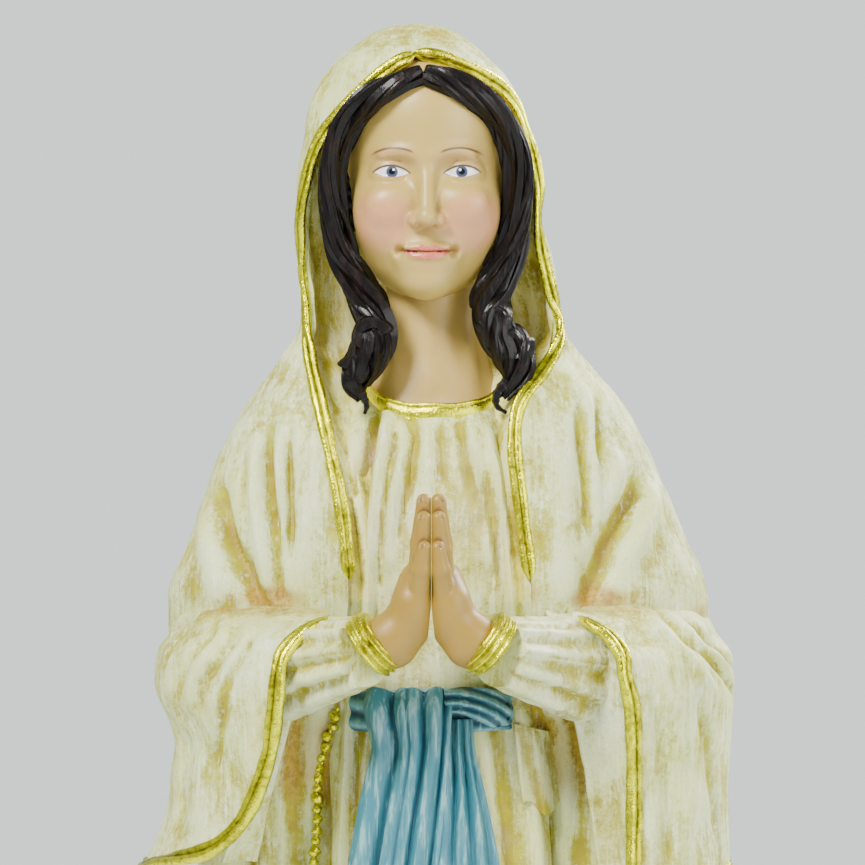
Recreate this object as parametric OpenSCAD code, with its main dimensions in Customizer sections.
// Devotional figure of a praying woman in a hooded mantle, on a round base.
// Moulded resin castings, bonded on dowels. Millimetres, +Z up, the figure faces -Y.
// "Right" and "left" are the figure's own: its right hand is at -X.

/* [Figure] */
// Overall height, from the felt to the crown of the hood
total_h = 400; // [360:5:440]
// Wall of the hollow gown casting
gown_wall = 4.5; // [3.5:0.5:6]
// Thickness of the mantle's free edges and sleeve drapes
cloth_wall = 2.6; // [2:0.2:3.4]

/* [Base] */
// Radius of the round base
base_r = 52; // [50:1:56]
// Height of the base ring, up to the rockwork
base_h = 24; // [22:1:26]
// Wall of the hollow base casting
base_wall = 5; // [4:0.5:7]
// Thickness of the felt under the base
felt_t = 1.5; // [1:0.25:2.5]

/* [Trim and beads] */
// Radius of the gilt piping on the mantle's edges
trim_r = 1.15; // [0.9:0.05:1.4]
// Radius of a rosary bead
bead_r = 1.05; // [0.8:0.05:1.2]
// Distance between rosary beads
bead_pitch = 2.6; // [2.5:0.1:3.2]

/* [Joinery] */
// Radius of the dowels that join the castings
dowel_r = 2.5; // [2:0.25:3]
// Radial clearance of a dowel in its hole
dowel_gap = 0.1; // [0.05:0.05:0.2]

/* [Hidden] */
drawn_h = 400;            // height that the tables below are drawn for
top_z = 400;              // crown of the hood
hem_z = 37;               // foot of the gown
neck_z = 323;             // top of the gown's neckband
mantle_hem_z = 40;        // foot of the mantle
drape_hem_z = 225;        // foot of the sleeve drapes
felt_r = base_r - 1.5;
deck_z = base_h;          // top of the base ring
around = 40;              // points around a casting
fold_count = 15;          // flutes around the skirt
flute_depth = 2;          // depth of the flutes at the hem
bond = 0.05;              // gap between bonded castings

// Rows of the castings: height, centre x, centre y, half width, depth in front, depth behind.
gown_rows = [
    [37, 0, 1, 39, 36, 31], [60, 0, 1, 37, 34, 30], [120, 0, 1, 34, 30, 28], [180, 0, 1, 32, 28, 26],
    [225, 0, 1, 30, 26, 24], [256, 0, 1, 28, 23, 22], [285, 0, 1, 33, 24.5, 22], [305, 0, 1, 33, 22.5, 21],
    [315, -0.3, 1, 24, 19, 18], [323, -0.6, 1, 13, 13, 13]];
mantle_rows = [
    [40, 0, 1, 48, 24, 39], [90, 0, 1, 46, 23, 35], [150, 0, 1, 46, 23, 32], [220, 0, 1, 49, 24, 30],
    [250, 0, 1, 53, 26, 29], [280, 0.3, 1, 56.8, 28, 29], [290, 0.3, 1, 53.1, 27.5, 28.5],
    [304, -0.5, 1, 47.8, 26, 27.5], [314, -0.6, 0, 43.2, 23.5, 27], [320, -0.6, -1, 39.8, 20.5, 26.5],
    [325, -0.6, -2.5, 36, 16.5, 27], [330, -0.7, -4, 31.5, 12.5, 27.5], [335, -0.9, -5, 28, 11, 28],
    [345, -2, -5.5, 26.6, 11, 28.5], [356, -3.6, -6, 26.2, 11.5, 31.5], [367, -3.9, -6, 25.7, 12, 34],
    [376, -4, -5, 23.8, 13, 33.5], [383, -4.4, -3.5, 21.8, 14.5, 31], [389, -4.8, -1.5, 18.8, 16.2, 26.5],
    [393.5, -4.8, 0.5, 15.2, 16.5, 21], [397, -4.7, 1.5, 11.2, 12.5, 15], [399, -4.6, 2.5, 7, 8, 9.5],
    [400, -4.6, 3, 2, 2.5, 3]];
drape_rows = [
    [225, 0.2, 1, 61.6, 43, 27], [234, 0.2, 1, 60.2, 42.2, 27], [245, 0.8, 1, 59.4, 42, 27.5],
    [258, 0.2, 1, 61.4, 42.5, 28], [266, 0.2, 1, 61, 41.5, 28], [272, 0.2, 1, 59.6, 38.5, 27.5],
    [277, 0.2, 1, 57.4, 33, 27], [280, 0.2, 1, 55, 26, 26]];
head_rows = [
    [341, -1.6, -12.5, 5, 6, 4], [343.5, -1.6, -10.5, 9.2, 9.8, 7], [349, -1.7, -6, 13.8, 15, 12],
    [357, -1.9, -1, 16.8, 21, 18], [366, -2.1, 0, 18.4, 22.4, 22], [374, -2.3, 1, 18.6, 22.6, 22],
    [382, -2.6, 1.5, 16.8, 20.4, 20.5], [388, -3, 2, 13, 15.5, 16.5], [392, -3.4, 2.5, 8, 9, 10.5],
    [393.8, -3.6, 3, 2.5, 3, 3.5]];
neck_rows = [
    [312, -0.6, 1, 12, 12, 12], [322, -0.7, 1, 10.4, 10.8, 11], [333, -1, 1.5, 9.3, 9.6, 10.5],
    [348, -1.4, 1, 9.2, 9.4, 10.5], [356, -1.6, 1, 9.2, 9.4, 10.5]];

// Edge of the mantle beside the face and on the chest: height, x.
rim_right = [[284, -18.3], [299.6, -20.2], [314, -23.2], [332, -27.2], [341.6, -27.9], [356, -29.2],
    [366, -28], [375, -24.6], [385.7, -15.1], [391, -8.2], [392.6, -4.6]];
rim_left = [[284, 19.3], [299.6, 17.4], [312, 16.2], [320, 17.4], [327, 22.5], [334, 26.2],
    [344, 24], [357, 21.4], [367, 21.6], [376, 19.4], [385.3, 15.6], [389.5, 7], [392.6, -4.6]];
// Edge of the sleeve drapes below the forearms: height, x.
drape_right_edge = [[225, -58], [228.5, -47], [236, -39], [248, -34], [259, -32.4], [269, -30],
    [276, -24], [281, -19]];
drape_left_edge = [[225, 39.5], [245, 39.5], [258, 39], [265, 37.6], [271, 34.8], [276, 30], [281, 24]];
// Middle of the gilt rosary's string on the skirt: height, x.
rosary_line = [[176, -25.5], [200, -27], [222, -25], [240, -23.2], [257, -20.6]];

// ---- curves ----
function row_index(t, z) = max(0, min(len(t) - 2, len([for (p = t) if (p[0] <= z) 1]) - 1));
function rise(t, i, c) =
    let (a = max(0, i - 1), b = min(len(t) - 1, i + 1))
    (t[b][c] - t[a][c]) / (t[b][0] - t[a][0]);
// Column c of table t at height z, on a smooth cubic through the rows.
function at(t, z, c = 1) =
    let (i = row_index(t, z), d = t[i + 1][0] - t[i][0], u = min(1, max(0, (z - t[i][0]) / d)))
    (2 * u ^ 3 - 3 * u ^ 2 + 1) * t[i][c] + (u ^ 3 - 2 * u ^ 2 + u) * rise(t, i, c) * d
    + (3 * u ^ 2 - 2 * u ^ 3) * t[i + 1][c] + (u ^ 3 - u ^ 2) * rise(t, i + 1, c) * d;
function span(a, b, n) = [for (i = [0 : n]) a + (b - a) * i / n];
function signed_power(v, e) = sign(v) * abs(v) ^ e;

// One ring of a casting: angle 0 is at the back, 90 at +X, 180 in front. "square" over 2 makes
// it boxier, "inset" shrinks it, and "flute" is the depth of the skirt's folds.
function ring(t, z, inset = 0, square = 2.3, flute = 0, n = around) =
    let (x0 = at(t, z, 1), y0 = at(t, z, 2), w = at(t, z, 3) - inset, f = at(t, z, 4) - inset,
         b = at(t, z, 5) - inset)
    [for (i = [0 : n - 1])
        let (a = 360 * i / n, r = 1 + flute * cos(fold_count * a) / w,
             c = signed_power(cos(a), 2 / square), s = signed_power(sin(a), 2 / square))
        [x0 + w * r * s, y0 + (c > 0 ? b : f) * r * c, z]];
// Depth of the front of a casting at x and z.
function front_y(t, x, z, square = 2.3) =
    let (u = min(0.999, abs(x - at(t, z, 1)) / at(t, z, 3)))
    at(t, z, 2) - at(t, z, 4) * (1 - u ^ square) ^ (1 / square);

// ---- solids from rings ----
module loft(rings) {
    n = len(rings[0]);
    m = len(rings);
    sides = [for (j = [0 : m - 2], i = [0 : n - 1])
        let (a = j * n + i, b = j * n + (i + 1) % n, c = b + n, d = a + n)
        each [[a, b, c], [a, c, d]]];
    foot = [[for (i = [n - 1 : -1 : 0]) i]];
    head = [[for (i = [0 : n - 1]) (m - 1) * n + i]];
    polyhedron([for (r = rings) each r], concat(sides, foot, head), convexity = 6);
}
function unit(v) = v / norm(v);
// Rings of a band carried along a path. Sizes are [half width, half thickness] along it, and
// "out" is the way that its thickness faces.
function band_rings(path, sizes, out, n) =
    [for (i = [0 : len(path) - 1])
        let (t = unit(path[min(i + 1, len(path) - 1)] - path[max(i - 1, 0)]),
             side = unit(cross(t, out)), up = cross(side, t), s = sizes[min(i, len(sizes) - 1)])
        [for (k = [0 : n - 1])
            path[i] + side * s[0] * cos(360 * k / n) - up * s[1] * sin(360 * k / n)]];
module band(path, sizes, out = [0, -1, 0], n = 8) loft(band_rings(path, sizes, out, n));
module casting(t, low, high, rows, inset = 0, square = 2.3, flute = 0, n = around)
    loft([for (z = span(low, high, rows)) ring(t, z, inset, square, flute * (high - z) / (high - low), n)]);
module stacked(t, levels, inset = 0, square = 2.3, n = around)
    loft([for (z = levels) ring(t, z, inset, square, 0, n)]);

// ---- base ----
module felt_pad() color("darkolivegreen") cylinder(r = felt_r, h = felt_t, $fn = 90);

module base_board() color("burlywood")
    translate([0, 0, felt_t]) cylinder(r = base_r - base_wall - 0.2, h = 2, $fn = 90);

module dowel_holes() for (x = [-18, 18]) translate([x, 6, 0])
    cylinder(r = dowel_r + dowel_gap, h = hem_z + 12, $fn = 32);

module base_ring() color("ivory") difference() {
    rotate_extrude($fn = 90) polygon([
        [0, felt_t], [base_r - 1, felt_t], [base_r, felt_t + 1], [base_r, 6], [base_r - 2.5, 8],
        [base_r - 2.5, deck_z - 5], [base_r - 1, deck_z - 3.5], [base_r - 1, deck_z - 1],
        [base_r - 2, deck_z], [0, deck_z]]);
    translate([0, 0, felt_t - 1]) cylinder(r = base_r - base_wall, h = 3, $fn = 90);
    translate([0, 0, felt_t + 1]) cylinder(r = base_r - base_wall - 4, h = deck_z - 8, $fn = 90);
    dowel_holes();
}

// A low heap of rock that the figure stands on, with an uneven outline.
rock_rows = [[deck_z, 0], [deck_z + 4, 1.5], [deck_z + 8, 4.5], [hem_z - 2, 8], [hem_z, 11]];
module rockwork() color("dimgray") difference() {
    loft([for (r = rock_rows) [for (i = [0 : 35])
        let (a = 10 * i, d = base_r - 4 - r[1] + 1.1 * sin(5 * a + 30) + 0.8 * sin(11 * a + 9 * r[0]))
        [d * sin(a), d * cos(a), r[0]]]]);
    dowel_holes();
}

module base_dowels() color("silver") for (x = [-18, 18]) translate([x, 6, deck_z - 6])
    cylinder(r = dowel_r, h = hem_z + 12 - deck_z + 6, $fn = 32);

// ---- gown ----
// Outside of the gown, which its neighbours are fitted to.
module gown_outside(low = hem_z, high = neck_z, rows = 22, swell = 0)
    loft([for (z = span(low, high, rows))
        ring(gown_rows, z, -swell, 2.3, flute_depth * (neck_z - z) / (neck_z - hem_z))]);

module neck_socket(gap) casting(neck_rows, 312, 356, 6, inset = -gap, square = 2, n = 24);

module gown() color("ivory") difference() {
    gown_outside();
    casting(gown_rows, hem_z + 14, 304, 12, inset = gown_wall, n = 24);
    neck_socket(dowel_gap);
    translate([-0.7, 1, neck_z - 30]) cylinder(r = dowel_r + dowel_gap, h = 40, $fn = 32);
    dowel_holes();
}

module gown_hem_trim() color("gold")
    band([for (a = span(122, 238, 30)) let (x = at(gown_rows, hem_z + 4, 3) * signed_power(sin(a), 0.87))
        [x, front_y(gown_rows, x, hem_z + 4) - 2, hem_z + 4]], [[2, 1]], [0, 0, 1], 6);

module neckband() color("gold")
    band([for (a = span(108, 252, 18)) [-0.6 + 13.6 * sin(a), 1 + 13.4 * cos(a), 321.5 + 1.5 * cos(a) + 0.8]],
        [[1.2, 1.5]], [0, 0, 1], 6);

// ---- mantle ----
function edge_points(t, low, high, n) = [for (z = span(low, high, n)) [at(t, z), z]];
// Outline, seen from the front, of what the mantle leaves open.
mantle_opening = concat(
    [[-33, mantle_hem_z - 5], [-31, 130], [-32, 222], [-34, 262], [-24, 277]],
    edge_points(rim_right, 284, 392.6, 18),
    edge_points(rim_left, 391.8, 284, 18),
    [[25, 277], [35, 262], [32, 222], [31, 130], [33, mantle_hem_z - 5]]);

mantle_levels = concat(span(mantle_hem_z, 270, 10), span(280, 328, 8), span(332, 380, 9),
    [384, 387.5, 390.5, 393, 395, 397, 398.4, 399.4, 400]);
hollow_front_y = -9;      // in front of this the mantle is solid up to the gown

module mantle() color("ivory") difference() {
    stacked(mantle_rows, mantle_levels);
    stacked(mantle_rows, concat(span(320, 382, 8), [386, 389, 391.5]), inset = cloth_wall, n = 28);
    intersection() {
        stacked(mantle_rows, concat([mantle_hem_z - 1], span(90, 270, 4), [285, 300]),
            inset = cloth_wall + 2, n = 28);
        translate([-80, hollow_front_y, 0]) cube([160, 80, 400]);
    }
    gown_outside(swell = bond);
    translate([0, -7, 0]) rotate([90, 0, 0]) linear_extrude(60) polygon(mantle_opening);
}

function on_mantle(x, z, proud) = [x, min(-7, front_y(mantle_rows, x, z) - proud), z];
module rim_trim(t, low, high) color("gold")
    band([for (z = span(low, high, 36)) on_mantle(at(t, z), z, 0.2)], [[trim_r, trim_r]], [0, -1, 0.01], 6);
module mantle_trim_right() rim_trim(rim_right, 284, 392.4);
module mantle_trim_left() rim_trim(rim_left, 284, 392.4);

module mantle_hem_trim() color("gold") intersection() {
    band([for (r = ring(mantle_rows, mantle_hem_z + 2.2, -0.3)) r], [[1.6, 1]], [0, 0, 1], 6);
    translate([-60, -14, 0]) cube([120, 80, 60]);
}

// ---- sleeve drapes ----
module drape_shell() difference() {
    casting(drape_rows, drape_hem_z, 280, 10, square = 2.5);
    casting(drape_rows, drape_hem_z - 1, 276, 6, inset = cloth_wall, square = 2.5, n = 32);
    casting(mantle_rows, drape_hem_z - 2, 282, 6, inset = -bond);
}
module drape(edge, side) difference() {
    drape_shell();
    translate([0, -5, 0]) rotate([90, 0, 0]) linear_extrude(60) polygon(concat(
        [[-side * 70, drape_hem_z - 5]], edge_points(edge, drape_hem_z, 281, 10), [[-side * 70, 285]]));
    translate([side > 0 ? -80 : 0, -60, 200]) cube([80, 120, 100]);
}
module drape_right() color("ivory") drape(drape_right_edge, -1);
module drape_left() color("ivory") drape(drape_left_edge, 1);

module drape_edge_trim(edge, low) color("gold")
    band([for (z = span(low, 277.5, 20)) [at(edge, z), front_y(drape_rows, at(edge, z), z, 2.5) + 0.4, z]],
        [[trim_r, trim_r]], [0, -1, 0.01], 6);
module drape_trim_right() drape_edge_trim(drape_right_edge, drape_hem_z);
module drape_trim_left() drape_edge_trim(drape_left_edge, drape_hem_z);

// ---- gown sleeves, cuffs and hands, made for the figure's left and mirrored for its right ----
sleeve_path = [[45, -19, 264], [37, -27.5, 264.5], [29, -33.5, 265.5], [21, -38.8, 267.5],
    [13.4, -42.6, 270.5]];
sleeve_sizes = [[9, 9.5], [9.5, 10.5], [9, 9.5], [7.8, 8], [6.2, 6.4]];
wrist = [11.2, -44, 271.6];
wrist_way = unit([-0.78, -0.2, 0.6]);

module on_side(right) if (right) mirror([1, 0, 0]) children(); else children();
module sleeve_outside() band(sleeve_path, sleeve_sizes, [0, 0, 1], 16);
module sleeve() color("ivory") difference() {
    sleeve_outside();
    stacked(mantle_rows, [245, 265, 285], inset = -bond);
}
module sleeve_right() translate([-1.2, 0, 0]) on_side(true) sleeve();
module sleeve_left() translate([-1.2, 0, 0]) on_side(false) sleeve();

module cuff() color("gold") for (d = [-1.4, 0.6])
    band([wrist + wrist_way * (d - 0.9), wrist + wrist_way * (d - 0.5), wrist + wrist_way * (d + 0.5),
        wrist + wrist_way * (d + 0.9)], [[6.2, 6.2], [7, 7], [7, 7], [6.2, 6.2]], [0, -0.95, 0.3], 16);
module cuff_right() translate([-1.2, 0, 0]) on_side(true) cuff();
module cuff_left() translate([-1.2, 0, 0]) on_side(false) cuff();

// Fingers, from the little finger in front to the forefinger behind: root, tip, radius.
fingers = [
    [[2.4, -46.5, 282], [1.6, -50.3, 292.4], 1.7], [[2.4, -44, 283.5], [1.6, -48.8, 298.3], 1.8],
    [[2.4, -41.4, 284], [1.6, -46.6, 300], 1.85], [[2.4, -38.8, 283], [1.6, -43.5, 297], 1.8]];
module hand() color("tan") {
    hull() {
        translate([7.5, -43, 272]) sphere(r = 4.6, $fn = 12);
        translate([3.6, -45, 276]) sphere(r = 2.8, $fn = 12);
        translate([2.6, -45.6, 283]) sphere(r = 2.1, $fn = 12);
        translate([2.6, -38.6, 284]) sphere(r = 2.1, $fn = 12);
        translate([3.6, -38.5, 276]) sphere(r = 3, $fn = 12);
    }
    for (f = fingers) hull() {
        translate(f[0]) sphere(r = f[2], $fn = 10);
        translate(f[1]) sphere(r = f[2] - 0.35, $fn = 10);
    }
    hull() {
        translate([3, -37.5, 278]) sphere(r = 2, $fn = 10);
        translate([1.9, -37.5, 291]) sphere(r = 1.6, $fn = 10);
    }
}
module hand_half(right) translate([-1.2, 0, 0]) on_side(right) difference() {
    hand();
    translate([-40 + bond, -80, 250]) cube([40, 80, 80]);
    sleeve_outside();
}
module hand_right() hand_half(true);
module hand_left() hand_half(false);
module wrist_dowels() color("silver") for (right = [true, false]) translate([-1.2, 0, 0]) on_side(right)
    translate([9, -43.5, 272.5]) rotate([0, 115, 15]) cylinder(r = 1.5, h = 12, $fn = 24);

// ---- head ----
module head() color("tan") difference() {
    union() {
        casting(head_rows, 341, 393.8, 14, square = 2.1, n = 28);
        neck_socket(0);
        loft([for (r = [[356.2, 2.2, 4], [357.4, 3, 5.4], [359, 2.6, 5], [366, 1.5, 3], [370, 1.3, 1.6]])
            [for (i = [0 : 11]) [-2 + r[1] * sin(30 * i), -19 + r[2] * (cos(30 * i) - 0.6), r[0]]]]);
    }
    translate([-0.7, 1, 305]) cylinder(r = dowel_r + dowel_gap, h = 24, $fn = 32);
}
module neck_dowel() color("silver") translate([-0.7, 1, neck_z - 28]) cylinder(r = dowel_r, h = 32, $fn = 32);

// Locks of hair from the parting, past the temple, to the curl on the shoulder.
lock_right = [[-2.8, -18, 386.8], [-9, -18.8, 384], [-15, -17.5, 379], [-19.6, -14, 372], [-21.6, -11.5, 363],
    [-21, -10.5, 354], [-18.4, -10.5, 345], [-14.6, -12, 337], [-12.8, -13.5, 331], [-15.5, -16, 325.5],
    [-14.5, -18.5, 320]];
lock_left = [[-2.4, -18, 386.8], [4, -18.8, 385], [10.5, -17.5, 380.5], [15.6, -14, 373], [18, -11.5, 364],
    [17.2, -10.5, 355], [14.4, -10.5, 346], [13, -12, 338], [14.6, -13.5, 331], [16, -15.5, 326],
    [14.5, -17.5, 320.5]];
lock_sizes = [[1.4, 1.6], [3, 2.6], [3.3, 3], [3, 3], [2.8, 3], [2.9, 3], [3.2, 3], [3.8, 3.2],
    [4.2, 3.4], [4, 3], [1, 1]];
module lock(path) color("#20140f") difference() {
    band(path, lock_sizes, [0, -1, 0.01], 8);
    casting(head_rows, 341, 393.8, 10, inset = -bond, square = 2.1, n = 20);
    neck_socket(bond);
}
module hair_right() lock(lock_right);
module hair_left() lock(lock_left);

// ---- sash ----
function on_gown(x, z, proud) = [x, front_y(gown_rows, x, z) - proud, z];
module sash_band_outside()
    band([for (x = span(-22, 21, 10)) on_gown(x, 256.5, 1.2)], [[4.6, 1.4]], [0, -1, 0.01], 8);
module sash_band() color("steelblue") difference() {
    sash_band_outside();
    gown_outside(240, 270, 2, bond);
}
module sash_knot() color("steelblue") difference() {
    band([for (z = [250, 252.5, 257, 261, 263]) [-1, -27.2, z]],
        [[4, 1], [7, 2], [8, 2.4], [6.5, 2], [4, 1]], [0, -1, 0.01], 14);
    sash_band_outside();
}
module sash_tail(points, sizes) color("steelblue") difference() {
    band([for (z = span(points[0][0], 251, 12)) on_gown(at(points, z), z, 2.8)],
        [for (z = span(points[0][0], 251, 12)) [at(sizes, z), 1.8]], [0, -1, 0.01], 8);
    gown_outside(100, 260, 6, bond);
}
module sash_tail_right() sash_tail(
    [[120, -13], [200, -11], [235, -8.5], [252, -5]], [[120, 10], [200, 9.5], [235, 7.5], [252, 4.6]]);
module sash_tail_left() sash_tail(
    [[136, 12], [200, 9.5], [235, 6], [252, 3]], [[136, 8], [200, 7], [235, 5], [252, 3.6]]);

// ---- rosary ----
module rosary_beads() color("gold") for (z = [180 : bead_pitch : 257])
    translate(on_gown(at(rosary_line, z), z, 1.8)) sphere(r = bead_r, $fn = 24);
module rosary_crucifix() color("gold") translate([-25.5, front_y(gown_rows, -25.5, 165) - 2.4, 0]) {
    translate([-0.9, -0.7, 158]) cube([1.8, 1.6, 18]);
    translate([-5, -0.7, 167.5]) cube([10, 1.6, 1.8]);
}

// ---- feet and roses ----
module foot_outside(x) hull() {
    translate([x, -30, hem_z + 5]) sphere(r = 4.5, $fn = 12);
    translate([x + sign(x) * 3.2, -40, hem_z + 2.3]) sphere(r = 2.3, $fn = 12);
    translate([x - sign(x) * 2.6, -42.2, hem_z + 2.6]) sphere(r = 2.6, $fn = 12);
}
module foot(x) color("tan") difference() {
    foot_outside(x);
    gown_outside(hem_z - 4, hem_z + 20, 3, bond);
}
module foot_right() foot(-9);
module foot_left() foot(9);
module rose(x) color("gold") difference() {
    translate([x, -38.4, hem_z + 7.6]) {
        for (a = [0 : 72 : 359]) rotate([0, 0, a]) translate([2.3, 0, 0.3]) sphere(r = 1.9, $fn = 16);
        translate([0, 0, 1]) sphere(r = 2.3, $fn = 16);
    }
    foot_outside(x);
}
module rose_right() rose(-9.5);
module rose_left() rose(9.5);

module placed() scale(total_h / drawn_h) children();

placed() felt_pad();
placed() base_board();
placed() base_ring();
placed() rockwork();
placed() base_dowels();
placed() gown();
placed() gown_hem_trim();
placed() neckband();
placed() mantle();
placed() mantle_trim_right();
placed() mantle_trim_left();
placed() mantle_hem_trim();
placed() drape_right();
placed() drape_left();
placed() drape_trim_right();
placed() drape_trim_left();
placed() sleeve_right();
placed() sleeve_left();
placed() cuff_right();
placed() cuff_left();
placed() hand_right();
placed() hand_left();
placed() wrist_dowels();
placed() head();
placed() neck_dowel();
placed() hair_right();
placed() hair_left();
placed() sash_band();
placed() sash_knot();
placed() sash_tail_right();
placed() sash_tail_left();
placed() rosary_beads();
placed() rosary_crucifix();
placed() foot_right();
placed() foot_left();
placed() rose_right();
placed() rose_left();
